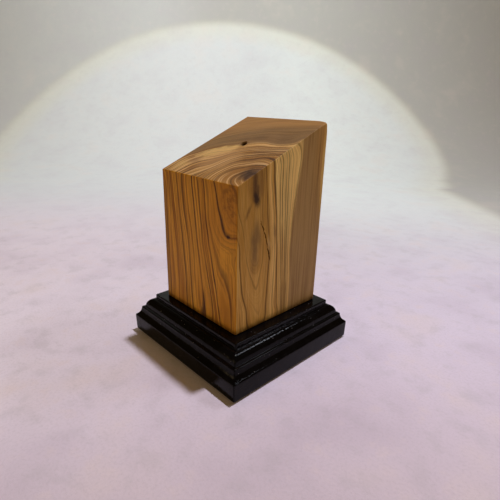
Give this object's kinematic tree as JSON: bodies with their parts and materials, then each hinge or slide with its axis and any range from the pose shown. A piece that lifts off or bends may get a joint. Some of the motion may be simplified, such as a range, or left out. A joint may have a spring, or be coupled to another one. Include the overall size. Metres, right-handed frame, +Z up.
{
  "type": "mezuzah case",
  "caption": "Free-standing mezuzah case: an olive-wood block with a slanted top on a black moulded base, bored from below for a rolled parchment and closed by a rubber stopper.",
  "frame": {"origin": "centre of the underside, on the surface the case stands on", "axes": "+Z up; -Y towards the low side of the slanted top; +X to the right for someone facing that side"},
  "size_m": [0.0756, 0.0756, 0.1044],
  "materials": {
    "olive_wood": "oiled and sanded smooth, warm brown with dark brown growth lines",
    "black_lacquer": "thick glossy black lacquer over wood",
    "black_felt": "short-pile black baize",
    "black_rubber": "matte moulded",
    "parchment": "cream parchment, unwritten",
    "zinc_steel": "yellowish zinc plating"
  },
  "bodies": {
    "case": {"case_block": "olive_wood", "base_plinth": "black_lacquer", "felt_pad": "black_felt", "base_screw_1": "zinc_steel", "base_screw_2": "zinc_steel", "base_screw_3": "zinc_steel", "base_screw_4": "zinc_steel"},
    "stopper": {"chamber_stopper": "black_rubber"},
    "scroll": {"parchment_scroll": "parchment"}
  },
  "joints": [
    {"name": "stopper_pull", "type": "slide", "parent": "case", "child": "stopper", "axis": [0, 0, -1], "range_m": [0, 0.082]},
    {"name": "scroll_slide", "type": "slide", "parent": "case", "child": "scroll", "axis": [0, 0, -1], "range_m": [0, 0.082]}
  ],
  "couplings": [
    {"joint": "scroll_slide", "follows": "stopper_pull", "ratio": 1}
  ]
}
